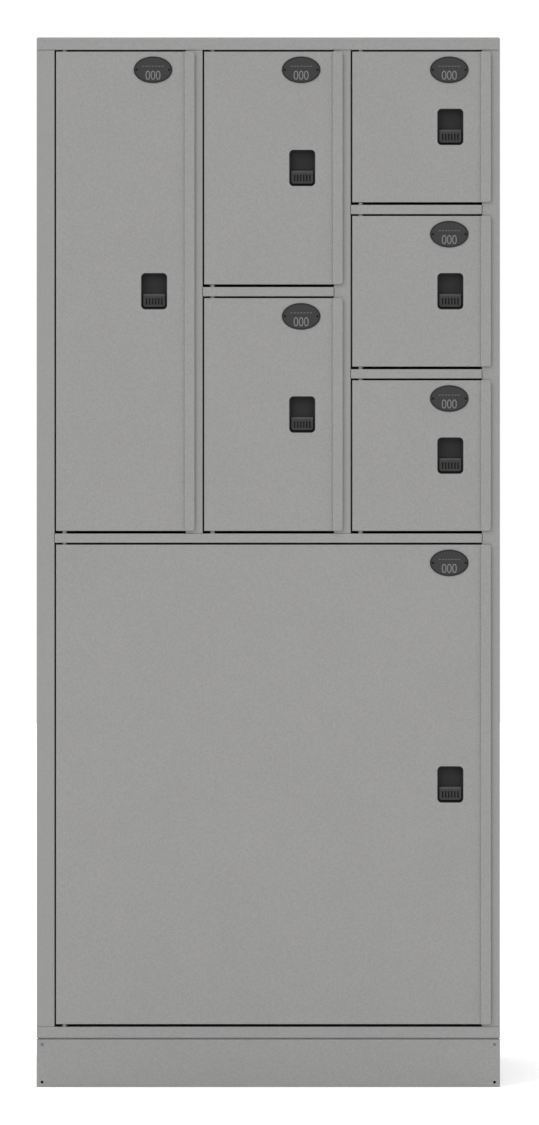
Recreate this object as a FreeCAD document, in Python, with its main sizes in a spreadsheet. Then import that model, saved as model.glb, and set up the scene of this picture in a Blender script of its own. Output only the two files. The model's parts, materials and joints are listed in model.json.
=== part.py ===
"""Parcel locker: a floor-standing steel tower with seven compartments.

Frame of the model: +X to the right, +Y to the back, +Z up, origin on the floor at the
middle of the bounding box. Lengths are in millimetres. Three columns of compartments
stand above one compartment of full width, and every door hangs on two pivot pins at its
left edge and is held by a slide latch near its right edge.
"""
import FreeCAD, Part
import os
import re
import Sketcher

DIMENSIONS = {
    # Whole locker and its sheet metal
    "width": 851, "height": 1928, "depth": 610, "gauge": 1.5, "bend": 1.4, "crown": 3.2,
    "seam": 0.4,
    # Faces of the front frame
    "stile": 33, "mullion": 31, "top_rail": 23, "bottom_rail": 20.5, "rail": 17,
    "big_opening": 889, "jamb": 20, "flange": 20, "back_inset": 1,
    "stile_inset": 1.5,
    # Holes for fixing the body to a neighbour or a wall
    "gang_hole": 4.5, "gang_across": 480, "gang_rise": 1500, "gang_low": 270,
    "wall_hole": 4, "wall_across": 600, "wall_rise": 1500,
    # Plinth with its feet, holes and screws
    "plinth": 90, "plinth_gap": 2.6, "plinth_wrap": 12, "plinth_slack": 0.2,
    "plinth_behind": 4,
    "plinth_flange": 45, "plinth_hole": 2.6, "screw_hole": 2, "plinth_hole_side": 10,
    "plinth_hole_edge": 9, "anchor_hole": 5.5, "anchor_across": 360,
    "foot_inset": 22.5, "foot_hole": 17, "foot_radius": 14, "foot_thick": 7,
    "foot_stud": 5, "foot_stud_top": 104, "foot_stud_hole": 5.2, "nut_corner": 9.6,
    "nut_thick": 6, "screw_head": 2.9, "screw_head_thick": 0.8, "screw_shank": 1.6,
    "screw_reach": 8,
    # Doors
    "side_gap": 2.7, "top_gap": 3.4, "bottom_gap": 4.8, "door_depth": 18, "door_channel": 7,
    "lip": 18.4, "lip_step": 2.2, "lip_proud": 3.8, "lip_corner": 5, "lip_round": 0.9,
    # Pivot pins
    "pivot_across": 18, "pivot_back": 7, "pin_shank": 4.3, "pin_tip": 3, "pin_reach": 8,
    "pin_head": 5.3, "pin_head_thick": 2, "pin_seat": 0.1, "pin_slack": 0.05,
    "shoulder_gap": 0.3,
    # Number plates and their rivets
    "plate_width": 71, "plate_height": 49, "plate_thick": 1.6, "plate_round": 0.7,
    "plate_across": 58, "plate_drop": 33.5, "rivet_across": 60, "rivet_shank": 1.5,
    "rivet_head": 2.2, "rivet_head_thick": 0.7, "rivet_reach": 3, "head_round": 0.5,
    # Latch housing, let into the door
    "pocket_width": 48, "pocket_height": 67, "pocket_corner": 8, "pocket_across": 56,
    "housing_wall": 1.5, "housing_depth": 12.5, "housing_rim": 8, "stud_across": 56,
    "stud_rise": 40, "stud_radius": 1.5, "stud_hole": 1.7, "stud_reach": 5,
    "push_nut": 4, "push_nut_thick": 1,
    # Latch slide, bar and strike
    "slide_width": 40, "slide_height": 24, "slide_drop": 38, "slide_front": 2.5,
    "slide_thick": 7, "slide_ledge": 3.7, "slide_corner": 4, "neck_width": 12,
    "neck_height": 7, "neck_drop": 17.5, "neck_slack": 0.5, "latch_drop": 3,
    "latch_lift": 12, "groove_width": 2.8, "groove_height": 12, "groove_deep": 4.5,
    "groove_pitch": 5.6, "groove_count": 6,
    "bar_front": 13, "bar_thick": 3, "bar_height": 12, "bar_tip": 2.5, "bar_tail": 15,
    "bar_corner": 3, "bar_screw": 3.5, "bar_screw_thick": 1.8, "notch_slack": 0.8,
    "strike_front": 4.5, "strike_back": 10.5, "strike_reach": 6.2, "strike_height": 14,
    "strike_below": 0.5,
    # Rubber buffers behind the door lips
    "buffer_radius": 4, "buffer_thick": 3.5, "buffer_across": 8, "buffer_inset": 40,
    # Stiffener down the middle of the widest door
    "hat_width": 50, "hat_depth": 14, "hat_flange": 15, "hat_clear": 25,
}

# Formulas used by several pieces. FRONT is the plane of the rails' and doors' faces.
# BODY_DEPTH is from there to the back of the trays, and WALL_DEPTH to the back panel.
FRONT = "(lip_proud - depth / 2)"
BACK = "(depth / 2)"
BODY_DEPTH = "(depth - lip_proud)"
WALL_DEPTH = "(depth - lip_proud - back_inset)"
OPENING = "((width - 2 * stile - 2 * mullion) / 3)"
UPPER_FLOOR = "(plinth + bottom_rail + big_opening + rail)"
UPPER_HEIGHT = f"(height - top_rail - {UPPER_FLOOR})"
SCREW_HEIGHT = "(plinth - plinth_gap - plinth_hole_edge)"
NECK_HIGH = "(pocket_height / 2 - slide_drop - neck_drop)"
CLOSE = 1e-4

ROTATIONS = {
    "X": FreeCAD.Rotation(FreeCAD.Vector(0, 1, 0), 90),
    "Y": FreeCAD.Rotation(FreeCAD.Vector(1, 0, 0), -90),
    "Z": FreeCAD.Rotation(),
}

doc = FreeCAD.newDocument("ParcelLocker")
sheet = doc.addObject("Spreadsheet::Sheet", "Dims")
nodes = []


def fill_sheet():
    """Write each driving dimension and its alias into the spreadsheet."""
    for row, (alias, amount) in enumerate(DIMENSIONS.items(), 1):
        sheet.set(f"A{row}", alias)
        sheet.set(f"B{row}", str(amount))
        sheet.setAlias(f"B{row}", alias)
    doc.recompute()


def formula(text):
    """Return text with each dimension's name made into a reference to the sheet."""
    def reference(word):
        return "Dims." + word.group() if word.group() in DIMENSIONS else word.group()
    return re.sub(r"[a-z_]+", reference, text)


def size(text):
    """Return the value of a formula, in millimetres."""
    return float(sheet.evalExpression(formula(text)))


def bind(item, **formulas):
    """Bind properties of item to formulas."""
    for name, text in formulas.items():
        item.setExpression(name, formula(text))
    return item


def place(item, x="0", y="0", z="0"):
    """Bind the position of item to formulas."""
    for axis, text in zip("xyz", (x, y, z)):
        item.setExpression(f"Placement.Base.{axis}", formula(text))
    return item


def node(label, item):
    """Give item the name of its sub-part."""
    item.Label = label
    nodes.append(item)
    return item


def block(x, y, z, length, width, height):
    """Return a box from the formulas of its low corner and its three sizes."""
    box = bind(doc.addObject("Part::Box", "Block"), Length=length, Width=width,
               Height=height)
    return place(box, x, y, z)


def rod(x, y, z, radius, height, axis="Z"):
    """Return a cylinder that runs from its start point along an axis."""
    cylinder = bind(doc.addObject("Part::Cylinder", "Rod"), Radius=radius, Height=height)
    cylinder.Placement.Rotation = ROTATIONS[axis]
    return place(cylinder, x, y, z)


def joined(*pieces):
    """Return the union of pieces."""
    union = doc.addObject("Part::MultiFuse", "Joined")
    union.Shapes = list(pieces)
    union.Refine = True
    return union


def without(base, *tools):
    """Return base with tools cut away."""
    cut = doc.addObject("Part::Cut", "Without")
    cut.Base = base
    cut.Tool = tools[0] if len(tools) == 1 else joined(*tools)
    return cut


def overlap(first, second):
    """Return what two pieces have in common."""
    common = doc.addObject("Part::Common", "Overlap")
    common.Base = first
    common.Tool = second
    return common


def group(pieces):
    """Return separate solids as one compound."""
    compound = doc.addObject("Part::Compound", "Group")
    compound.Links = pieces
    return compound


def on_side(edge, bound, side):
    """Say whether an edge lies wholly on one side of a bounding box, such as "z+"."""
    axis = side[0].upper()
    limit = getattr(bound, axis + ("Max" if side[1] == "+" else "Min"))
    ends = (getattr(edge.BoundBox, axis + "Min"), getattr(edge.BoundBox, axis + "Max"))
    return all(abs(end - limit) < CLOSE for end in ends)


def edges_on(shape, *sides):
    """Return the numbers of a shape's edges that lie on all the given sides."""
    return [number for number, edge in enumerate(shape.Edges, 1)
            if all(on_side(edge, shape.BoundBox, side) for side in sides)]


def rounded(base, radius, *corners):
    """Round a block's edges. Each corner names the two sides that meet there."""
    doc.recompute()
    fillet = doc.addObject("Part::Fillet", "Rounded")
    fillet.Base = base
    numbers = [number for corner in corners for number in edges_on(base.Shape, *corner)]
    fillet.Edges = [(number, size(radius), size(radius)) for number in numbers]
    return fillet


def new_body():
    """Return an empty PartDesign body."""
    return doc.addObject("PartDesign::Body", "Body")


def new_sketch(body, plane):
    """Return a sketch on one of the origin planes of body."""
    sketch = body.newObject("Sketcher::SketchObject", "Sketch")
    support = [item for item in body.Origin.OriginFeatures if item.Role == plane][0]
    sketch.AttachmentSupport = (support, [""])
    sketch.MapMode = "FlatFace"
    return sketch


def pin_point(sketch, element, end, x, y):
    """Bind a sketch point's two distances from the origin to formulas."""
    for kind, text in (("DistanceX", x), ("DistanceY", y)):
        index = sketch.addConstraint(
            Sketcher.Constraint(kind, -1, 1, element, end, size(text)))
        sketch.setExpression(f"Constraints[{index}]", formula(text))


def outline(body, plane, corners):
    """Return a sketch of straight sides whose corners are pairs of formulas."""
    sketch = new_sketch(body, plane)
    points = [FreeCAD.Vector(size(x), size(y), 0) for x, y in corners]
    for index, point in enumerate(points):
        sketch.addGeometry(Part.LineSegment(point, points[(index + 1) % len(points)]))
    for index in range(len(points)):
        following = (index + 1) % len(points)
        sketch.addConstraint(Sketcher.Constraint("Coincident", index, 2, following, 1))
    for index, (x, y) in enumerate(corners):
        pin_point(sketch, index, 1, x, y)
    return sketch


def add_circle(sketch, x, y, radius):
    """Add a circle whose centre and radius are formulas."""
    circle = Part.Circle(FreeCAD.Vector(size(x), size(y), 0), FreeCAD.Vector(0, 0, 1),
                         size(radius))
    element = sketch.addGeometry(circle)
    pin_point(sketch, element, 3, x, y)
    index = sketch.addConstraint(Sketcher.Constraint("Radius", element, size(radius)))
    sketch.setExpression(f"Constraints[{index}]", formula(radius))


def pad(body, sketch, length, **settings):
    """Extrude a sketch of body by a formula's length."""
    feature = body.newObject("PartDesign::Pad", "Pad")
    feature.Profile = sketch
    bind(feature, Length=length)
    for name, setting in settings.items():
        setattr(feature, name, setting)
    doc.recompute()
    return feature


def cut_through(body, sketch):
    """Cut a sketch right through body, both ways."""
    feature = body.newObject("PartDesign::Pocket", "Pocket")
    feature.Profile = sketch
    feature.Type = "ThroughAll"
    feature.Midplane = True
    doc.recompute()
    return feature


def round_edges(body, radius, *corners):
    """Round edges of body's last feature, named as for rounded()."""
    last = body.Tip
    numbers = [number for corner in corners for number in edges_on(last.Shape, *corner)]
    feature = body.newObject("PartDesign::Fillet", "Fillet")
    feature.Base = (last, [f"Edge{number}" for number in numbers])
    bind(feature, Radius=radius)
    doc.recompute()


def column_left(column):
    """Return the formula for the left edge of a column of openings, 0 to 2."""
    return f"(stile - width / 2 + {column} * ({OPENING} + mullion))"


def openings():
    """Return the door openings, each with its door number and formulas."""
    found = []
    for column, count in enumerate((1, 2, 3)):
        tall = f"(({UPPER_HEIGHT} - {count - 1} * rail) / {count})"
        for level in reversed(range(count)):
            found.append({
                "number": len(found) + 1, "column": column, "level": level,
                "left": column_left(column), "wide": OPENING, "tall": tall,
                "low": f"({UPPER_FLOOR} + {level} * ({tall} + rail))"})
    found.append({
        "number": len(found) + 1, "column": 0, "level": None, "left": column_left(0),
        "wide": "(width - 2 * stile)", "tall": "big_opening",
        "low": "(plinth + bottom_rail)"})
    return found


def pin_hole(column, origin, low, height):
    """Return the tool for a pivot pin's hole through a rail, in the rail's own frame."""
    return rod(f"{column_left(column)} + pivot_across - {origin}", "pivot_back", low,
               "pin_shank + pin_seat", height)


def upright(label, wall, side, face, bottom, top, ganged=False):
    """Make a folded wall with a front face, a jamb and a back flange.

    wall is the formula for the wall's outer face, and side is 1 or -1 for a front face
    that runs to the right or to the left of it. The front face is a little behind FRONT.
    """
    body = new_body()
    face_back = "stile_inset + gauge"
    corners = [
        ("0", "stile_inset"), (f"{side} * {face}", "stile_inset"),
        (f"{side} * {face}", "jamb"), (f"{side} * ({face} - gauge)", "jamb"),
        (f"{side} * ({face} - gauge)", face_back), (f"{side} * gauge", face_back),
        (f"{side} * gauge", f"{WALL_DEPTH} - 2 * gauge"),
        (f"{side} * flange", f"{WALL_DEPTH} - 2 * gauge"),
        (f"{side} * flange", f"{WALL_DEPTH} - gauge"), ("0", f"{WALL_DEPTH} - gauge")]
    pad(body, outline(body, "XY_Plane", corners), f"{top} - {bottom} - 2 * seam")
    round_edges(body, "bend", ("x-", "y-"), ("x+", "y-"))
    if ganged:
        sketch = new_sketch(body, "YZ_Plane")
        for across in (-1, 1):
            for rise in (0, 1):
                add_circle(sketch, f"-({FRONT}) + {across} * gang_across / 2",
                           f"gang_low - {bottom} - seam + {rise} * gang_rise",
                           "gang_hole")
        cut_through(body, sketch)
    node(label, place(body, wall, FRONT, f"{bottom} + seam"))


def make_uprights():
    """Make the two side panels and the two dividers between the columns."""
    low = "(plinth + bottom_rail)"
    high = "(height - top_rail)"
    upright("left_side_panel", "-width / 2", 1, "stile", low, high, ganged=True)
    upright("right_side_panel", "width / 2", -1, "stile", low, high, ganged=True)
    for column, label in enumerate(("left_divider", "right_divider"), 1):
        upright(label, column_left(column), -1, "mullion", UPPER_FLOOR, high)


def make_top_panel():
    """Make the tray that caps the body, with a return that heads the top openings."""
    corners = (("x-", "y-"), ("x+", "y-"), ("y-", "z+"), ("y+", "z+"), ("x-", "z+"),
               ("x+", "z+"))
    outer = block("0", "0", "0", "width", BODY_DEPTH, "top_rail")
    outer = rounded(outer, "crown", *corners)
    inner = block("gauge", "gauge", "0", "width - 2 * gauge",
                  f"{BODY_DEPTH} - 2 * gauge", "top_rail - gauge")
    inner = rounded(inner, "crown - gauge", *corners)
    head = block("gauge", "gauge / 2", "0", "width - 2 * gauge", "jamb - gauge / 2",
                 "gauge")
    holes = [pin_hole(column, "(-width / 2)", "-gauge", "3 * gauge")
             for column in range(3)]
    tray = without(joined(without(outer, inner), head), *holes)
    node("top_panel", place(tray, "-width / 2", FRONT, "height - top_rail"))


def make_base_panel():
    """Make the tray that is the floor of the lowest compartment."""
    outer = block("0", "0", "0", "width", BODY_DEPTH, "bottom_rail")
    outer = rounded(outer, "bend", ("y-", "z+"), ("y-", "z-"), ("x-", "y-"), ("x+", "y-"))
    inner = block("gauge", "gauge", "0", "width - 2 * gauge",
                  f"{BODY_DEPTH} - 2 * gauge", "bottom_rail - gauge")
    hole = pin_hole(0, "(-width / 2)", "bottom_rail - 2 * gauge", "3 * gauge")
    tray = without(outer, inner, hole)
    node("base_panel", place(tray, "-width / 2", FRONT, "plinth"))


def make_back_panel():
    """Make the flat back with its holes for fixing to a wall."""
    panel = block("0", "0", "0", "width", "gauge",
                  "height - plinth - bottom_rail - top_rail - 2 * seam")
    holes = [rod(f"width / 2 + {across} * wall_across / 2", "-gauge",
                 f"gang_low - plinth - bottom_rail - seam + {rise} * wall_rise",
                 "wall_hole", "3 * gauge", "Y")
             for across in (-1, 1) for rise in (0, 1)]
    node("back_panel", place(without(panel, *holes), "-width / 2", f"{BACK} - back_inset - gauge",
                             "plinth + bottom_rail + seam"))


def shelf(label, left, front_wide, spare_left, spare_right, low, holes):
    """Make a shelf: a channel that is the rail at its front, and a wider sheet behind.

    spare_left and spare_right are how far the sheet reaches past the channel, behind
    the jambs. holes lists (column, through both sheets) for the pivot pins.
    """
    rear = f"{WALL_DEPTH} - 2 * gauge"
    beam = block("seam", "0", "0", f"{front_wide} - 2 * seam", "jamb", "rail")
    beam = rounded(beam, "bend", ("y-", "z+"), ("y-", "z-"))
    hollow = block("-gauge", "gauge", "gauge", f"{front_wide} + 2 * gauge", "jamb",
                   "rail - 2 * gauge")
    sheet_front = block("seam", "jamb / 2", "rail - gauge", f"{front_wide} - 2 * seam",
                        "jamb", "gauge")
    sheet_rear = block(f"seam - {spare_left}", "jamb + seam", "rail - gauge",
                       f"{front_wide} - 2 * seam + {spare_left} + {spare_right}",
                       f"{rear} - jamb - 2 * seam", "gauge")
    tools = [pin_hole(column, left, "-gauge" if through else "rail / 2",
                      "rail + 2 * gauge" if through else "rail")
             for column, through in holes]
    solid = without(joined(without(beam, hollow), sheet_front, sheet_rear), *tools)
    node(label, place(solid, left, FRONT, low))


def make_shelves():
    """Make the full-width shelf and the three shelves within the columns."""
    behind_stile = "(stile - gauge)"
    behind_mullion = "(mullion - gauge)"
    shelf("middle_shelf", column_left(0), "(width - 2 * stile)", behind_stile,
          behind_stile, f"{UPPER_FLOOR} - rail", [(0, True), (1, False), (2, False)])
    names = {(1, 1): "centre_column_shelf", (2, 1): "right_column_lower_shelf",
             (2, 2): "right_column_upper_shelf"}
    for opening in openings():
        label = names.get((opening["column"], opening["level"]))
        if label:
            spare = behind_stile if opening["column"] == 2 else behind_mullion
            shelf(label, opening["left"], opening["wide"], "0", spare,
                  f"{opening['low']} - rail", [(opening["column"], True)])


def plinth_holes(y, radius, length, *heights):
    """Return the tools for holes near both ends of the plinth's front."""
    return [rod(f"{side} * (width / 2 - plinth_hole_side)", y, height, radius, length, "Y")
            for side in (-1, 1) for height in heights]


def make_plinth_front():
    """Make the cover of the plinth's front, with its open holes and its screws' holes."""
    outer = block("-width / 2", "0", "0", "width", "plinth_wrap", "plinth - plinth_gap")
    outer = rounded(outer, "bend", ("x-", "y-"), ("x+", "y-"), ("y-", "z-"), ("y-", "z+"))
    inner = block("gauge - width / 2", "gauge", "-gauge", "width - 2 * gauge",
                  "plinth_wrap", "plinth + gauge")
    holes = plinth_holes("-gauge", "plinth_hole", "4 * gauge", "plinth_hole_edge")
    holes += plinth_holes("-gauge", "screw_hole", "4 * gauge", SCREW_HEIGHT)
    node("plinth_front", place(without(outer, inner, *holes), "0", FRONT, "0"))


def make_plinth_frame():
    """Make the frame behind the cover: two closed-ended side channels and two beams."""
    inset = "(gauge + plinth_slack)"
    left = f"({inset} - width / 2)"
    wide = f"(width - 2 * {inset})"
    deep = f"({BODY_DEPTH} - plinth_behind)"
    front = f"({FRONT} + plinth_behind)"
    outer = block(left, "0", "0", wide, deep, "plinth")
    inner = block(f"{left} + gauge", "gauge", "gauge", f"{wide} - 2 * gauge",
                  f"{deep} - 2 * gauge", "plinth - 2 * gauge")
    middle = block(f"{left} + plinth_flange", "plinth_flange", "-gauge",
                   f"{wide} - 2 * plinth_flange", f"{deep} - 2 * plinth_flange",
                   "plinth + 2 * gauge")
    tools = [inner, middle]
    tools += plinth_holes("-gauge", "plinth_hole", "3 * gauge", "plinth_hole_edge")
    tools += plinth_holes("-gauge", "screw_hole", "3 * gauge", SCREW_HEIGHT)
    for x, y in foot_places():
        behind = f"{y} - {front}"
        tools.append(rod(x, behind, "-gauge", "foot_hole", "3 * gauge"))
        tools.append(rod(x, behind, "plinth - 2 * gauge", "foot_stud_hole", "3 * gauge"))
    for side in (-1, 1):
        for across in (-1, 1):
            tools.append(rod(
                f"{side} * (width / 2 - {inset} - foot_inset)",
                f"{across} * anchor_across / 2 - {front}", "-gauge",
                "anchor_hole", "3 * gauge"))
    ring = without(outer, *tools)

    sides = [block(x, "0", "0", "plinth_flange", deep, "plinth")
             for x in (left, f"{left} + {wide} - plinth_flange")]
    beams = [block(f"{left} + plinth_flange", y, "0", f"{wide} - 2 * plinth_flange",
                   "plinth_flange", "plinth")
             for y in ("0", f"{deep} - plinth_flange")]
    channels = group([overlap(ring, space) for space in sides + beams])
    node("plinth_frame", place(channels, "0", front, "0"))


def foot_places():
    """Return the formulas for the centres of the four levelling feet."""
    return [(f"{side} * (width / 2 - gauge - plinth_slack - foot_inset)", y)
            for side in (-1, 1)
            for y in (f"({FRONT} + plinth_behind + foot_inset)", f"({BACK} - foot_inset)")]


def make_feet():
    """Make the levelling feet and their lock nuts."""
    pieces = []
    for x, y in foot_places():
        disc = rod("0", "0", "0", "foot_radius", "foot_thick")
        disc = rounded(disc, "gauge", ("z+",))
        stud = rod("0", "0", "foot_thick / 2", "foot_stud",
                   "foot_stud_top - foot_thick / 2")
        pieces.append(place(joined(disc, stud), x, y, "0"))
        nut = doc.addObject("Part::Prism", "Nut")
        nut.Polygon = 6
        bind(nut, Circumradius="nut_corner", Height="nut_thick")
        bore = rod("0", "0", "-gauge", "foot_stud_hole", "nut_thick + 2 * gauge")
        pieces.append(place(without(nut, bore), x, y, "plinth"))
    node("levelling_feet", group(pieces))


def fastener(head, head_thick, shank, reach, x, y, z):
    """Return a round-headed fastener along Y, whose head stands in front of y."""
    cap = rod(x, f"{y} - {head_thick}", z, head, head_thick, "Y")
    cap = rounded(cap, "head_round", ("y-",))
    stem = rod(x, f"{y} - {head_thick} / 2", z, shank, f"{reach} + {head_thick} / 2", "Y")
    return joined(cap, stem)


def make_screws():
    """Make the screws at the top corners of the plinth's front."""
    screws = [fastener("screw_head", "screw_head_thick", "screw_shank", "screw_reach",
                       f"{side} * (width / 2 - plinth_hole_side)", FRONT, SCREW_HEIGHT)
              for side in (-1, 1)]
    node("plinth_screws", group(screws))


def hinge_pin(opening, upper):
    """Return one pivot pin: a head within the rail, a shank in the gap and a thin tip."""
    shank = f"(gauge + {'top_gap' if upper else 'bottom_gap'} - shoulder_gap)"
    head = rod("0", "0", "0", "pin_head", "pin_head_thick")
    body = rod("0", "0", "0", "pin_shank", f"pin_head_thick + {shank}")
    tip = rod("0", "0", "0", "pin_tip", f"pin_head_thick + {shank} + pin_reach")
    pin = joined(head, body, tip)
    if upper:
        pin.Placement.Rotation = FreeCAD.Rotation(FreeCAD.Vector(1, 0, 0), 180)
        z = f"{opening['low']} + {opening['tall']} + gauge + pin_head_thick"
    else:
        z = f"{opening['low']} - gauge - pin_head_thick"
    return place(pin, f"{opening['left']} + pivot_across", f"{FRONT} + pivot_back", z)


def make_hinge_pins():
    """Make the two pivot pins of every door."""
    node("hinge_pins", group([hinge_pin(opening, upper) for opening in openings()
                              for upper in (False, True)]))


def make_strikes():
    """Make the strike on the right jamb of every opening."""
    strikes = []
    for opening in openings():
        leg = block("-gauge", "strike_front", "0", "gauge", "strike_back - strike_front",
                    "strike_height")
        tab = block("-strike_reach", "strike_back - gauge", "0", "strike_reach", "gauge",
                    "strike_height")
        low = (f"{opening['low']} + bottom_gap + {door_tall(opening)} / 2"
               f" + {NECK_HIGH} - bar_height / 2 - strike_below - strike_height")
        strikes.append(place(joined(leg, tab), f"{opening['left']} + {opening['wide']}",
                             FRONT, low))
    node("strike_plates", group(strikes))


def make_buffers():
    """Make the rubber discs that each door's lip closes on."""
    discs = []
    for opening in openings():
        for z in (f"{opening['low']} + buffer_inset",
                  f"{opening['low']} + {opening['tall']} - buffer_inset"):
            discs.append(rod(f"{opening['left']} + {opening['wide']} + buffer_across",
                             f"{FRONT} + stile_inset - buffer_thick", z, "buffer_radius",
                             "buffer_thick", "Y"))
    node("door_buffers", group(discs))


def door_tall(opening):
    """Return the formula for a door's height."""
    return f"({opening['tall']} - top_gap - bottom_gap)"


def door_panel(opening):
    """Make a door: a folded pan with a forward-stepped lip along its right edge.

    The door's own frame starts at the lower left front corner of its opening.
    """
    wide = opening["wide"]
    tall = door_tall(opening)
    step = f"({wide} - lip_step)"
    outer = block("side_gap", "0", "bottom_gap", f"{wide} - side_gap - door_channel",
                  "door_depth", tall)
    outer = rounded(outer, "bend", ("x-", "y-"), ("y-", "z-"), ("y-", "z+"))
    inner = block("side_gap + gauge", "gauge", "bottom_gap + gauge",
                  f"{wide} - side_gap - door_channel - 2 * gauge", "door_depth",
                  f"{tall} - 2 * gauge")
    strip = block(f"{wide} - 2 * door_channel", "0", "bottom_gap",
                  "2 * door_channel - lip_step + gauge", "gauge", tall)
    strip = rounded(strip, "bend", ("y-", "z-"), ("y-", "z+"))
    web = block(step, "gauge / 2 - lip_proud", "bottom_gap", "gauge",
                "lip_proud + gauge / 2", tall)
    lip = block(step, "-lip_proud", "bottom_gap", "lip", "gauge", tall)
    lip = rounded(lip, "lip_corner", ("x+", "z-"), ("x+", "z+"))
    lip = rounded(lip, "lip_round", ("y-",))
    x, z = latch_place(opening)
    studs = [rod(f"{x} + {across} * stud_across / 2", "gauge / 2",
                 f"{z} + {rise} * stud_rise / 2", "stud_radius", "gauge / 2 + stud_reach",
                 "Y")
             for across in (-1, 1) for rise in (-1, 1)]
    added = [strip, web, lip, *studs]
    if opening["level"] is None:
        added += stiffener(f"({wide} / 2)", tall)
    pan = joined(without(outer, inner), *added)

    pocket = block(f"{x} - pocket_width / 2", "-door_depth", f"{z} - pocket_height / 2",
                   "pocket_width", "2 * door_depth", "pocket_height")
    pocket = rounded(pocket, "pocket_corner", ("x-", "z-"), ("x-", "z+"), ("x+", "z-"),
                     ("x+", "z+"))
    notch = block(f"{wide} - 2 * door_channel", "bar_front - notch_slack",
                  f"{z} + {NECK_HIGH} - bar_height / 2 - latch_drop - notch_slack",
                  "2 * door_channel", "door_depth",
                  "bar_height + latch_drop + latch_lift + 2 * notch_slack")
    pivots = [rod("pivot_across", "pivot_back", low, "pin_tip + pin_slack", "3 * gauge")
              for low in ("bottom_gap - gauge", f"bottom_gap + {tall} - 2 * gauge")]
    rivets = [rod(x_rivet, "-gauge", z_rivet, "rivet_shank", "4 * gauge", "Y")
              for x_rivet, z_rivet in rivet_places(opening)]
    return without(pan, pocket, notch, *pivots, *rivets)


def stiffener(x, tall):
    """Return a hat channel and its flanges, down the inside of a door at x."""
    low = "bottom_gap + hat_clear"
    long = f"{tall} - 2 * hat_clear"
    outer = block(f"{x} - hat_width / 2", "gauge / 2", low, "hat_width",
                  "hat_depth - gauge / 2", long)
    inner = block(f"{x} - hat_width / 2 + gauge", "0", f"{low} - gauge",
                  "hat_width - 2 * gauge", "hat_depth - gauge", f"{long} + 2 * gauge")
    flanges = [block(f"{x} + {start}", "gauge / 2", low, "hat_flange + gauge", "1.5 * gauge",
                     long)
               for start in ("hat_width / 2 - gauge", "(-hat_width / 2 - hat_flange)")]
    return [without(outer, inner), *flanges]


def latch_place(opening):
    """Return the formulas for the centre of a door's latch pocket."""
    return (f"({opening['wide']} - lip_step - pocket_across)",
            f"(bottom_gap + {door_tall(opening)} / 2)")


def plate_place(opening):
    """Return the formulas for the centre of a door's number plate."""
    return (f"({opening['wide']} - lip_step - plate_across)",
            f"(bottom_gap + {door_tall(opening)} - plate_drop)")


def rivet_places(opening):
    """Return the formulas for the two rivets of a door's number plate."""
    x, z = plate_place(opening)
    return [(f"{x} + {side} * rivet_across / 2", z) for side in (-1, 1)]


def number_plate():
    """Make an oval plate in the plane y = 0, with its two rivet holes."""
    body = new_body()
    sketch = new_sketch(body, "XZ_Plane")
    centre = FreeCAD.Vector(0, 0, 0)
    oval = sketch.addGeometry(Part.Ellipse(centre, size("plate_width / 2"),
                                           size("plate_height / 2")))
    sketch.exposeInternalGeometry(oval)
    sketch.addConstraint(Sketcher.Constraint("Coincident", oval, 3, -1, 1))
    for axis, kind, text in ((oval + 1, "DistanceX", "plate_width"),
                             (oval + 2, "DistanceY", "plate_height")):
        start, end = (1, 2) if size_along(sketch, axis) > 0 else (2, 1)
        index = sketch.addConstraint(
            Sketcher.Constraint(kind, axis, start, axis, end, size(text)))
        sketch.setExpression(f"Constraints[{index}]", formula(text))
    sketch.addConstraint(Sketcher.Constraint("Horizontal", oval + 1))
    for side in (-1, 1):
        add_circle(sketch, f"{side} * rivet_across / 2", "0", "rivet_shank")
    pad(body, sketch, "plate_thick")
    round_edges(body, "plate_round", ("y-",))
    return body


def size_along(sketch, element):
    """Return how far a sketch line runs towards +X and +Y together."""
    line = sketch.Geometry[element]
    run = line.EndPoint - line.StartPoint
    return run.x + run.y


def latch_housing():
    """Make the moulded housing, open at the front, with a rim behind the door's face."""
    outer = block("-pocket_width / 2", "0", "-pocket_height / 2", "pocket_width",
                  "housing_depth", "pocket_height")
    corners = (("x-", "z-"), ("x-", "z+"), ("x+", "z-"), ("x+", "z+"))
    outer = rounded(outer, "pocket_corner", *corners)
    rim = block("-pocket_width / 2 - housing_rim", "gauge",
                "-pocket_height / 2 - housing_rim", "pocket_width + 2 * housing_rim",
                "housing_wall", "pocket_height + 2 * housing_rim")
    rim = rounded(rim, "pocket_corner", *corners)
    inner = block("housing_wall - pocket_width / 2", "-housing_wall",
                  "housing_wall - pocket_height / 2", "pocket_width - 2 * housing_wall",
                  "housing_depth", "pocket_height - 2 * housing_wall")
    inner = rounded(inner, "pocket_corner - housing_wall", *corners)
    slot = block("-neck_width / 2 - neck_slack", "0",
                 f"{NECK_HIGH} - neck_height / 2 - latch_drop - neck_slack",
                 "neck_width + 2 * neck_slack", "2 * housing_depth",
                 "neck_height + latch_drop + latch_lift + 2 * neck_slack")
    holes = [rod(f"{across} * stud_across / 2", "0", f"{rise} * stud_rise / 2",
                 "stud_hole", "4 * housing_wall", "Y")
             for across in (-1, 1) for rise in (-1, 1)]
    return without(joined(outer, rim), inner, slot, *holes)


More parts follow.
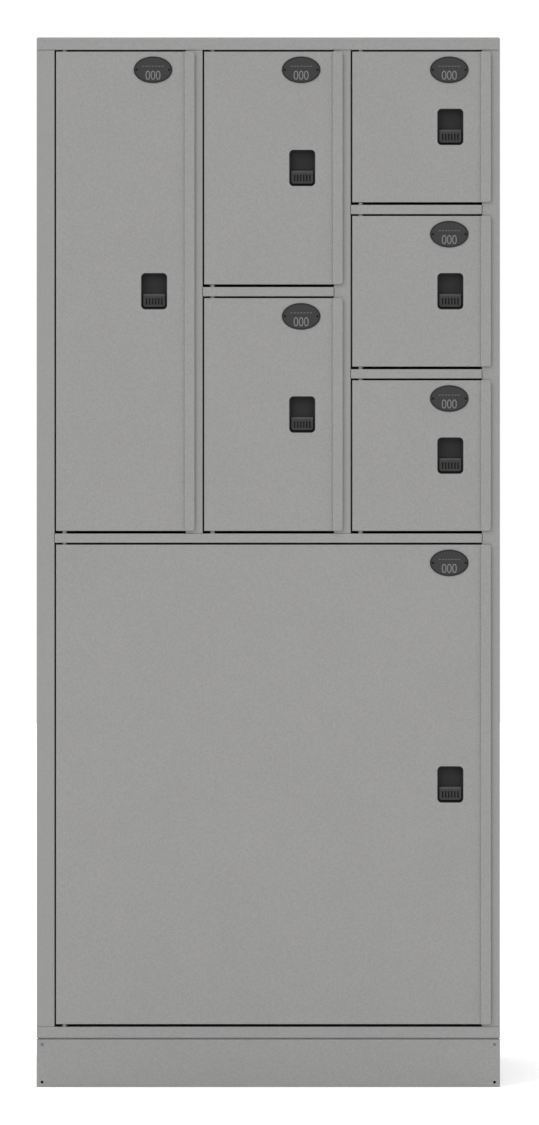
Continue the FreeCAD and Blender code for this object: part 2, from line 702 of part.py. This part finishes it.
def latch_slide():
    """Make the sliding grip, with a sloping ledge, grooves and a neck behind it.

    Its own frame starts at the middle of the neck's height, in the plane of the frame's
    face.
    """
    body = new_body()
    top = "neck_drop"
    bottom = "(neck_drop - slide_height)"
    back = "(slide_front + slide_thick)"
    profile = [("slide_front", bottom), (back, bottom), (back, top),
               ("slide_front + slide_ledge", top), ("slide_front", f"{top} - slide_ledge")]
    pad(body, outline(body, "YZ_Plane", profile), "slide_width", Midplane=True)
    round_edges(body, "slide_corner", ("x-", "z-"), ("x+", "z-"))
    neck = [(f"{back} - gauge", "-neck_height / 2"), ("bar_front", "-neck_height / 2"),
            ("bar_front", "neck_height / 2"), (f"{back} - gauge", "neck_height / 2")]
    pad(body, outline(body, "YZ_Plane", neck), "neck_width", Midplane=True)
    first = "(-(groove_count - 1) * groove_pitch / 2)"
    low = f"(({top} - slide_ledge + {bottom} - groove_height) / 2)"
    edges = [(f"{first} - groove_width / 2", low), (f"{first} + groove_width / 2", low),
             (f"{first} + groove_width / 2", f"{low} + groove_height"),
             (f"{first} - groove_width / 2", f"{low} + groove_height")]
    groove = body.newObject("PartDesign::Pocket", "Groove")
    groove.Profile = outline(body, "XZ_Plane", edges)
    bind(groove, Length="slide_front + groove_deep")
    doc.recompute()
    pattern = body.newObject("PartDesign::LinearPattern", "Grooves")
    pattern.Originals = [groove]
    pattern.Direction = (groove.Profile[0], ["H_Axis"])
    bind(pattern, Length="(groove_count - 1) * groove_pitch")
    pattern.Occurrences = int(size("groove_count"))
    body.Tip = pattern
    doc.recompute()
    return body


def latch_bar():
    """Make the flat bar behind the housing, and the screw that holds it to the neck."""
    bar = block("-bar_tail", "bar_front", "-bar_height / 2",
                "bar_tail + pocket_across + lip_step - bar_tip", "bar_thick", "bar_height")
    bar = rounded(bar, "bar_corner", ("x-", "z-"), ("x-", "z+"))
    screw = rod("0", "bar_front + bar_thick", "0", "bar_screw", "bar_screw_thick", "Y")
    return group([bar, screw])


def door_fasteners(opening):
    """Make the rivets of the number plate and the push nuts of the latch housing."""
    pieces = [fastener("rivet_head", "rivet_head_thick", "rivet_shank",
                       "plate_thick + rivet_reach", x, "-plate_thick", z)
              for x, z in rivet_places(opening)]
    x, z = latch_place(opening)
    for across in (-1, 1):
        for rise in (-1, 1):
            x_nut = f"{x} + {across} * stud_across / 2"
            z_nut = f"{z} + {rise} * stud_rise / 2"
            disc = rod(x_nut, "gauge + housing_wall", z_nut, "push_nut",
                       "push_nut_thick", "Y")
            bore = rod(x_nut, "gauge", z_nut, "stud_hole", "4 * housing_wall", "Y")
            pieces.append(without(disc, bore))
    return group(pieces)


def make_door(opening):
    """Make every piece of one door and put them in its opening."""
    prefix = f"door_{opening['number']}_"
    latch_x, latch_z = latch_place(opening)
    plate_x, plate_z = plate_place(opening)
    neck_z = f"({latch_z} + {NECK_HIGH})"
    pieces = (
        ("panel", door_panel(opening), "0", "0"),
        ("number_plate", number_plate(), plate_x, plate_z),
        ("latch_housing", latch_housing(), latch_x, latch_z),
        ("fasteners", door_fasteners(opening), "0", "0"),
        ("latch_slide", latch_slide(), latch_x, neck_z),
        ("latch_bar", latch_bar(), latch_x, neck_z))
    for name, item, x, z in pieces:
        place(item, f"{opening['left']} + {x}", FRONT, f"{opening['low']} + {z}")
        node(prefix + name, item)


def check_model():
    """Stop if any object failed or any sub-part has no valid shape."""
    doc.recompute()
    for item in doc.Objects:
        if "Invalid" in item.State or "Error" in item.State:
            raise RuntimeError(f"{item.Name} ({item.Label}) failed: {item.State}")
    for item in nodes:
        if item.Shape.isNull() or not item.Shape.isValid() or not item.Shape.Solids:
            raise RuntimeError(f"{item.Label} has no valid shape")


def write_parts():
    """Write each sub-part to its own STEP file and print its volume and box."""
    os.makedirs("parts", exist_ok=True)
    for item in nodes:
        item.Shape.exportStep(f"parts/{item.Label}.step")
        bound = item.Shape.BoundBox
        print(f"{item.Label}: {len(item.Shape.Solids)} solids,"
              f" {item.Shape.Volume / 1000:.1f} cm3,"
              f" x {bound.XMin:.1f}..{bound.XMax:.1f},"
              f" y {bound.YMin:.1f}..{bound.YMax:.1f},"
              f" z {bound.ZMin:.1f}..{bound.ZMax:.1f}")


fill_sheet()
make_uprights()
make_top_panel()
make_base_panel()
make_back_panel()
make_shelves()
make_plinth_front()
make_plinth_frame()
make_feet()
make_screws()
make_hinge_pins()
make_strikes()
make_buffers()
for opening in openings():
    make_door(opening)
check_model()
write_parts()
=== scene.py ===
"""Looks of the parcel locker: materials, numerals, small edges, light and camera."""
import json
import math

import bmesh
import bpy
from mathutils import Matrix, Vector

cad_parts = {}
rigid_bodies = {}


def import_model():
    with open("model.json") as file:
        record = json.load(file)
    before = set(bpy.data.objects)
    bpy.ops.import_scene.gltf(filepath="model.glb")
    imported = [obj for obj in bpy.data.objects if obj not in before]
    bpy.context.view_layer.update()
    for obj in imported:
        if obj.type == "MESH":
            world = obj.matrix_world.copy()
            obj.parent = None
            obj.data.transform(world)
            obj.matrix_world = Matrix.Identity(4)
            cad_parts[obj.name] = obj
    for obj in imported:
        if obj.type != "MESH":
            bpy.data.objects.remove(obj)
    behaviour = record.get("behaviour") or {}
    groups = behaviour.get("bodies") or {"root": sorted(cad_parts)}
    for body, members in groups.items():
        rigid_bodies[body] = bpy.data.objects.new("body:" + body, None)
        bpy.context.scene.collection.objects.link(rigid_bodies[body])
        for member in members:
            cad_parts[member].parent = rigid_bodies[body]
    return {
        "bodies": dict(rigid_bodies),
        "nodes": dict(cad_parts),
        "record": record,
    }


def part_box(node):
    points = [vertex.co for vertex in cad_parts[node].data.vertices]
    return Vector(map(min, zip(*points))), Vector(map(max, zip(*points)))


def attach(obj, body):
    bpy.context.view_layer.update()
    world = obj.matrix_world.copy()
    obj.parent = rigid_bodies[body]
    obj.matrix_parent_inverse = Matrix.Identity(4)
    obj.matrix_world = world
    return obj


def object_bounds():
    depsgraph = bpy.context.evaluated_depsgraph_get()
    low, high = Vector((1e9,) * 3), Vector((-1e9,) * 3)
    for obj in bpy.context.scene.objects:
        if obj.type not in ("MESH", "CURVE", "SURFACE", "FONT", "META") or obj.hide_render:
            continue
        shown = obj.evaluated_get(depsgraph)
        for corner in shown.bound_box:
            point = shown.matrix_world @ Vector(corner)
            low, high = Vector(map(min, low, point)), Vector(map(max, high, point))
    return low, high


MM = 0.001
FLOOR_SIZE = 40

# Framing: the picture's height over its width, the part of that width which the locker
# fills, and where the camera stands, from the locker's front and from its middle.
PICTURE_ASPECT = 1125 / 539
LOCKER_SHARE = 0.8601
CAMERA_DISTANCE = 9.0
CAMERA_RIGHT, CAMERA_DOWN = 2.2 * MM, 0.7 * MM
SENSOR_MM = 36
FAR_CLIP = 100

# Light: the surround's strength rises from 1, at a slope of HORIZON, to OVERHEAD straight
# up, and a soft key light adds to it.
HORIZON = 0.15
OVERHEAD = 1.8
KEY_STRENGTH = 1.1
KEY_SPREAD = math.radians(30)
KEY_TOWARDS = (0.8, 0.72, -0.7)

# Number plates: the ink stands a little proud. Digits sit below the plate's middle, and a
# rule of dashes above it.
INK_PROUD = 0.25 * MM
DIGIT_WIDTH, DIGIT_HEIGHT, DIGIT_STROKE = 8.5 * MM, 16.6 * MM, 1.9 * MM
DIGIT_PITCH, DIGIT_DROP = 9.5 * MM, 10.1 * MM
DASH_WIDTH, DASH_HEIGHT = 4.1 * MM, 1.9 * MM
DASH_PITCH, DASH_RISE = 5.9 * MM, 6.3 * MM
RIM_MARGIN, RIM_BAND, RIM_PROUD, RIM_SLOPE = 0.9 * MM, 1.7 * MM, 0.3 * MM, 0.2 * MM

# Latch slides: the width of their broken edges, and how sharp an edge has to be to break.
SLIDE_EDGE = 0.35 * MM
SHARP = math.radians(50)

# Back rivets: a column's distance from the panel's edge, its ends' from the panel's ends,
# and one rivet's size.
RIVET_EDGE, RIVET_END, RIVETS_PER_SIDE = 11 * MM, 40 * MM, 12
RIVET_RADIUS, RIVET_PROUD = 3.2 * MM, 0.9 * MM

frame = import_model()
cad_low, cad_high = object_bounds()
NODES = frame["nodes"]
DOORS = sorted(name for name in frame["bodies"] if name.startswith("door_"))


# ---------------------------------------------------------------- materials

def new_material(name, color, roughness, metallic=0.0, specular=0.5):
    """Return a material, its node tree and its shader."""
    material = bpy.data.materials.new(name)
    material.use_nodes = True
    tree = material.node_tree
    shader = tree.nodes["Principled BSDF"]
    shader.inputs["Base Color"].default_value = (*color, 1)
    shader.inputs["Roughness"].default_value = roughness
    shader.inputs["Metallic"].default_value = metallic
    shader.inputs["Specular IOR Level"].default_value = specular
    return material, tree, shader


def neutral(level):
    """Return a colour with no hue."""
    return (level, level, level)


def noise(tree, scale, detail, stretch=None):
    """Return the output of a noise texture in the object's own metres."""
    coordinates = tree.nodes.new("ShaderNodeTexCoord").outputs["Object"]
    if stretch:
        mapping = tree.nodes.new("ShaderNodeMapping")
        mapping.inputs["Scale"].default_value = stretch
        tree.links.new(coordinates, mapping.inputs["Vector"])
        coordinates = mapping.outputs["Vector"]
    texture = tree.nodes.new("ShaderNodeTexNoise")
    texture.inputs["Scale"].default_value = scale
    texture.inputs["Detail"].default_value = detail
    tree.links.new(coordinates, texture.inputs["Vector"])
    return texture.outputs["Fac"]


def spread(tree, factor, low, high):
    """Map a noise's middle half to the range from low to high."""
    node = tree.nodes.new("ShaderNodeMapRange")
    node.inputs["From Min"].default_value = 0.25
    node.inputs["From Max"].default_value = 0.75
    node.inputs["To Min"].default_value = low
    node.inputs["To Max"].default_value = high
    tree.links.new(factor, node.inputs["Value"])
    return node.outputs["Result"]


def vary_color(tree, shader, factor, first, second):
    """Blend the shader's colour between two shades by a factor."""
    ramp = tree.nodes.new("ShaderNodeValToRGB")
    ramp.color_ramp.elements[0].position = 0.3
    ramp.color_ramp.elements[0].color = (*first, 1)
    ramp.color_ramp.elements[1].position = 0.7
    ramp.color_ramp.elements[1].color = (*second, 1)
    tree.links.new(factor, ramp.inputs["Fac"])
    tree.links.new(ramp.outputs["Color"], shader.inputs["Base Color"])


def vary_roughness(tree, shader, factor, roughness, swing):
    """Vary the shader's roughness by a factor, within a swing either way."""
    tree.links.new(spread(tree, factor, roughness - swing, roughness + swing),
                   shader.inputs["Roughness"])


def add_bump(tree, shader, layers):
    """Stack bump layers, each a factor and a height in metres, onto the shader."""
    normal = None
    for factor, height in layers:
        bump = tree.nodes.new("ShaderNodeBump")
        bump.inputs["Strength"].default_value = 1.0
        bump.inputs["Distance"].default_value = height
        tree.links.new(factor, bump.inputs["Height"])
        if normal:
            tree.links.new(normal, bump.inputs["Normal"])
        normal = bump.outputs["Normal"]
    tree.links.new(normal, shader.inputs["Normal"])


def shade(color, factor):
    """Return a colour made lighter or darker."""
    return tuple(channel * factor for channel in color)


def paint_ledge_highlight(tree, shader, factor):
    """Paint a highlight into the colour of faces that look up, as if light from above fell on
    them.
    """
    normal = tree.nodes.new("ShaderNodeSeparateXYZ")
    tree.links.new(tree.nodes.new("ShaderNodeNewGeometry").outputs["True Normal"],
                   normal.inputs["Vector"])
    highlight = tree.nodes.new("ShaderNodeMapRange")
    highlight.inputs["From Min"].default_value = 0.3
    highlight.inputs["From Max"].default_value = 0.6
    highlight.inputs["To Min"].default_value = 1.0
    highlight.inputs["To Max"].default_value = factor
    tree.links.new(normal.outputs["Z"], highlight.inputs["Value"])
    lighter = tree.nodes.new("ShaderNodeVectorMath")
    lighter.operation = "SCALE"
    color = shader.inputs["Base Color"].links[0].from_socket
    tree.links.new(color, lighter.inputs[0])
    tree.links.new(highlight.outputs["Result"], lighter.inputs["Scale"])
    tree.links.new(lighter.outputs["Vector"], shader.inputs["Base Color"])


def powder_coat(name, color, roughness=0.46, specular=0.5):
    """Powder coat: faint mottling with a speckle, orange peel and a finer grain."""
    material, tree, shader = new_material(name, color, roughness, specular=specular)
    mottle = spread(tree, noise(tree, scale=9, detail=4), low=-0.04, high=0.04)
    speckle = tree.nodes.new("ShaderNodeMath")
    speckle.operation = "ADD"
    tree.links.new(noise(tree, scale=330, detail=2), speckle.inputs[0])
    tree.links.new(mottle, speckle.inputs[1])
    vary_color(tree, shader, speckle.outputs["Value"], shade(color, 0.92), shade(color, 1.08))
    vary_roughness(tree, shader, noise(tree, scale=35, detail=3), roughness, 0.04)
    orange_peel = noise(tree, scale=420, detail=2)
    grain = noise(tree, scale=1700, detail=1)
    add_bump(tree, shader, [(orange_peel, 0.07 * MM), (grain, 0.01 * MM)])
    return material


def moulded_plastic(name, color, roughness, specular, ledge_highlight=1.0):
    """Moulded nylon with a fine spark-eroded texture, and a painted highlight on ledges that
    look up.
    """
    material, tree, shader = new_material(name, color, roughness, specular=specular)
    cloud = noise(tree, scale=60, detail=3)
    vary_color(tree, shader, cloud, shade(color, 0.92), shade(color, 1.08))
    vary_roughness(tree, shader, noise(tree, scale=300, detail=2), roughness, 0.06)
    add_bump(tree, shader, [(noise(tree, scale=1500, detail=2), 0.03 * MM)])
    if ledge_highlight > 1:
        paint_ledge_highlight(tree, shader, ledge_highlight)
    return material


def plated_steel(name, color, roughness=0.34):
    """Zinc-plated steel with drawn streaks and a cloudy passivation."""
    material, tree, shader = new_material(name, color, roughness, metallic=1.0)
    cloud = noise(tree, scale=90, detail=4)
    vary_color(tree, shader, cloud, shade(color, 0.88), shade(color, 1.06))
    streaks = noise(tree, scale=120, detail=3, stretch=(1, 12, 12))
    tree.links.new(spread(tree, streaks, roughness - 0.08, roughness + 0.1),
                   shader.inputs["Roughness"])
    add_bump(tree, shader, [(streaks, 0.02 * MM)])
    return material


def rubber(name, color):
    """Matt rubber with a dusty surface."""
    material, tree, shader = new_material(name, color, roughness=0.8)
    dust = noise(tree, scale=200, detail=3)
    vary_color(tree, shader, dust, shade(color, 0.8), shade(color, 1.4))
    add_bump(tree, shader, [(noise(tree, scale=900, detail=2), 0.03 * MM)])
    return material


GREY = (0.184, 0.182, 0.180)
MATERIALS = {
    "grey_powder_coat": powder_coat("grey_powder_coat", GREY),
    # The pins share the body's grey paint; their coat is a tenth darker here as painted shade
    # for their place in the shadowed door gaps.
    "painted_pin": powder_coat("painted_pin", shade(GREY, 0.9)),
    "zinc_steel": plated_steel("zinc_steel", (0.55, 0.55, 0.53)),
    "dark_screw": powder_coat("dark_screw", neutral(0.09), 0.4),
    "black_rubber": rubber("black_rubber", neutral(0.02)),
    "black_plate": powder_coat("black_plate", neutral(0.026), 0.5, 0.15),
    "plate_rim": powder_coat("plate_rim", neutral(0.012), 0.5, 0.15),
    "black_rivet": powder_coat("black_rivet", neutral(0.006), 0.45, 0.1),
    "black_plastic": moulded_plastic("black_plastic", neutral(0.017), 0.6, 0.1),
    # The slide's top ledge gets a painted highlight: faces that look up are made 1.9 times
    # lighter.
    "black_slide": moulded_plastic("black_slide", neutral(0.028), 0.55, 0.12, ledge_highlight=1.9),
    "pale_ink": powder_coat("pale_ink", neutral(0.125), 0.5, 0.2),
    "faint_ink": powder_coat("faint_ink", neutral(0.075), 0.5, 0.2),
}


def paint_frame():
    """Give every carried-over node the material of its slot in the record."""
    for part in frame["record"]["subparts"]:
        mesh = NODES[part["node"]].data
        mesh.materials.clear()
        mesh.materials.append(MATERIALS[part["material_slot"]])


# ------------------------------------------------------------- small edges

def soften(node, width):
    """Break a moulded node's sharp edges."""
    bevel = NODES[node].modifiers.new("edge", "BEVEL")
    bevel.width = width
    bevel.segments = 2
    bevel.limit_method = "ANGLE"
    bevel.angle_limit = SHARP
    bevel.harden_normals = True


# ------------------------------------------------------------ mesh helpers

def oval_points(width, height, count, power):
    """Return points round an oval. A power above 2 squares its shoulders."""
    points = []
    for index in range(count):
        angle = 2 * math.pi * index / count
        cosine, sine = math.cos(angle), math.sin(angle)
        points.append((math.copysign(abs(cosine) ** (2 / power), cosine) * width / 2,
                       math.copysign(abs(sine) ** (2 / power), sine) * height / 2))
    return points


def bridge(mesh, loops):
    """Join each loop of points to the next with faces."""
    for first, second in zip(loops, loops[1:]):
        for index in range(len(first)):
            after = (index + 1) % len(first)
            mesh.faces.new((first[index], second[index], second[after], first[after]))


def add_piece(name, mesh, body, material):
    """Turn a bmesh into a piece that rides on a body."""
    bmesh.ops.recalc_face_normals(mesh, faces=mesh.faces)
    data = bpy.data.meshes.new(name)
    mesh.to_mesh(data)
    mesh.free()
    data.materials.append(MATERIALS[material])
    piece = bpy.data.objects.new(name, data)
    bpy.context.scene.collection.objects.link(piece)
    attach(piece, body)


# ----------------------------------------------------------- number plates

def add_zero(mesh, x, z, y_back, y_front):
    """Add one raised numeral, an oval ring, to a mesh in the plane of a plate."""
    count, power = 56, 2.35
    loops = []
    for inset, y in ((0, y_back), (0, y_front), (DIGIT_STROKE, y_front), (DIGIT_STROKE, y_back)):
        ring = oval_points(DIGIT_WIDTH - 2 * inset, DIGIT_HEIGHT - 2 * inset, count, power)
        loops.append([mesh.verts.new((x + across, y, z + rise)) for across, rise in ring])
    bridge(mesh, loops + loops[:1])


def add_dash(mesh, x, z, y_back, y_front):
    """Add a short bar with round ends to a mesh."""
    count, power = 20, 4
    ring = oval_points(DASH_WIDTH, DASH_HEIGHT, count, power)
    back = [mesh.verts.new((x + across, y_back, z + rise)) for across, rise in ring]
    front = [mesh.verts.new((x + across, y_front, z + rise)) for across, rise in ring]
    mesh.faces.new(front)
    mesh.faces.new(list(reversed(back)))
    bridge(mesh, [back, front])


def numerals(door):
    """Make a plate's three noughts, and a plain dashed rule above them."""
    low, high = (Vector(corner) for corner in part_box(f"{door}_number_plate"))
    centre = (low + high) / 2
    y_front, y_back = low.y - INK_PROUD, low.y
    digits, rule = bmesh.new(), bmesh.new()
    for place in (-1, 0, 1):
        add_zero(digits, centre.x + place * DIGIT_PITCH, centre.z - DIGIT_DROP, y_back, y_front)
    for place in range(-3, 4):
        add_dash(rule, centre.x + place * DASH_PITCH, centre.z + DASH_RISE, y_back, y_front)
    add_piece(f"{door}_numerals", digits, door, "pale_ink")
    add_piece(f"{door}_rule", rule, door, "faint_ink")


def plate_rim(door):
    """Make the low raised border round a number plate."""
    low, high = (Vector(corner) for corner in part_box(f"{door}_number_plate"))
    centre = (low + high) / 2
    count, power = 96, 2
    steps = ((0, 0), (RIM_SLOPE, RIM_PROUD), (RIM_BAND - RIM_SLOPE, RIM_PROUD), (RIM_BAND, 0))
    mesh = bmesh.new()
    loops = []
    for inset, rise in steps:
        inset += RIM_MARGIN
        ring = oval_points(high.x - low.x - 2 * inset, high.z - low.z - 2 * inset, count, power)
        loops.append([mesh.verts.new((centre.x + x, low.y - rise, centre.z + z))
                      for x, z in ring])
    bridge(mesh, loops + loops[:1])
    add_piece(f"{door}_plate_rim", mesh, door, "plate_rim")


# ------------------------------------------------------------- back panel

def add_rivet(mesh, x, y, z):
    """Add a blind rivet's head, a low dome with a hollow middle, facing +Y."""
    profile = ((1, 0), (0.94, 0.45), (0.7, 0.85), (0.42, 1), (0.34, 0.6), (0.3, 0.2))
    count, power = 20, 2
    loops = []
    for reach, rise in profile:
        width = 2 * RIVET_RADIUS * reach
        loops.append([mesh.verts.new((x + across, y + RIVET_PROUD * rise, z + up))
                      for across, up in oval_points(width, width, count, power)])
    bridge(mesh, loops)
    mesh.faces.new(loops[-1])
    mesh.faces.new(list(reversed(loops[0])))


def back_rivets():
    """Make the blind rivets that hold the back panel to the flanges of both sides."""
    low, high = (Vector(corner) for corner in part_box("back_panel"))
    pitch = (high.z - low.z - 2 * RIVET_END) / (RIVETS_PER_SIDE - 1)
    mesh = bmesh.new()
    for x in (low.x + RIVET_EDGE, high.x - RIVET_EDGE):
        for index in range(RIVETS_PER_SIDE):
            add_rivet(mesh, x, high.y, low.z + RIVET_END + pitch * index)
    add_piece("back_rivets", mesh, "cabinet", "dark_screw")


# --------------------------------------------------------- floor and light

def make_floor():
    """Add a plain pale floor."""
    bpy.ops.mesh.primitive_plane_add(size=FLOOR_SIZE)
    floor = bpy.context.object
    floor.name = "floor"
    material, tree, shader = new_material("floor", neutral(0.95), roughness=0.7)
    vary_color(tree, shader, noise(tree, scale=3, detail=2), neutral(0.945), neutral(0.955))
    floor.data.materials.append(material)


def make_light():
    """Light from a white surround, brighter overhead, and a soft key at the upper left."""
    world = bpy.data.worlds.new("studio")
    world.use_nodes = True
    tree = world.node_tree
    height = tree.nodes.new("ShaderNodeSeparateXYZ")
    tree.links.new(tree.nodes.new("ShaderNodeTexCoord").outputs["Generated"],
                   height.inputs["Vector"])
    brighter = tree.nodes.new("ShaderNodeMapRange")
    brighter.inputs["From Min"].default_value = HORIZON
    brighter.inputs["From Max"].default_value = 1
    brighter.inputs["To Min"].default_value = 1
    brighter.inputs["To Max"].default_value = OVERHEAD
    tree.links.new(height.outputs["Z"], brighter.inputs["Value"])
    tree.links.new(brighter.outputs["Result"], tree.nodes["Background"].inputs["Strength"])
    tree.nodes["Background"].inputs["Color"].default_value = (1, 1, 1, 1)
    bpy.context.scene.world = world
    sun = bpy.data.lights.new("key", "SUN")
    sun.energy = KEY_STRENGTH
    sun.angle = KEY_SPREAD
    lamp = bpy.data.objects.new("key", sun)
    lamp.rotation_mode = "QUATERNION"
    lamp.rotation_quaternion = Vector(KEY_TOWARDS).to_track_quat("-Z", "Y")
    bpy.context.scene.collection.objects.link(lamp)


def make_camera():
    """Set a long lens square to the front, level with the middle of the locker."""
    view_height = (cad_high.x - cad_low.x) / LOCKER_SHARE * PICTURE_ASPECT
    data = bpy.data.cameras.new("camera")
    data.sensor_width = SENSOR_MM
    data.lens = SENSOR_MM * CAMERA_DISTANCE / view_height
    data.clip_end = FAR_CLIP
    camera = bpy.data.objects.new("camera", data)
    middle = (cad_low + cad_high) / 2
    camera.location = (middle.x + CAMERA_RIGHT, cad_low.y - CAMERA_DISTANCE,
                       middle.z - CAMERA_DOWN)
    camera.rotation_euler = (math.pi / 2, 0, 0)
    bpy.context.scene.collection.objects.link(camera)
    bpy.context.scene.camera = camera


paint_frame()
for door in DOORS:
    numerals(door)
    plate_rim(door)
    soften(f"{door}_latch_slide", SLIDE_EDGE)
back_rivets()
make_floor()
make_light()
make_camera()
bpy.context.scene.view_settings.view_transform = "Standard"
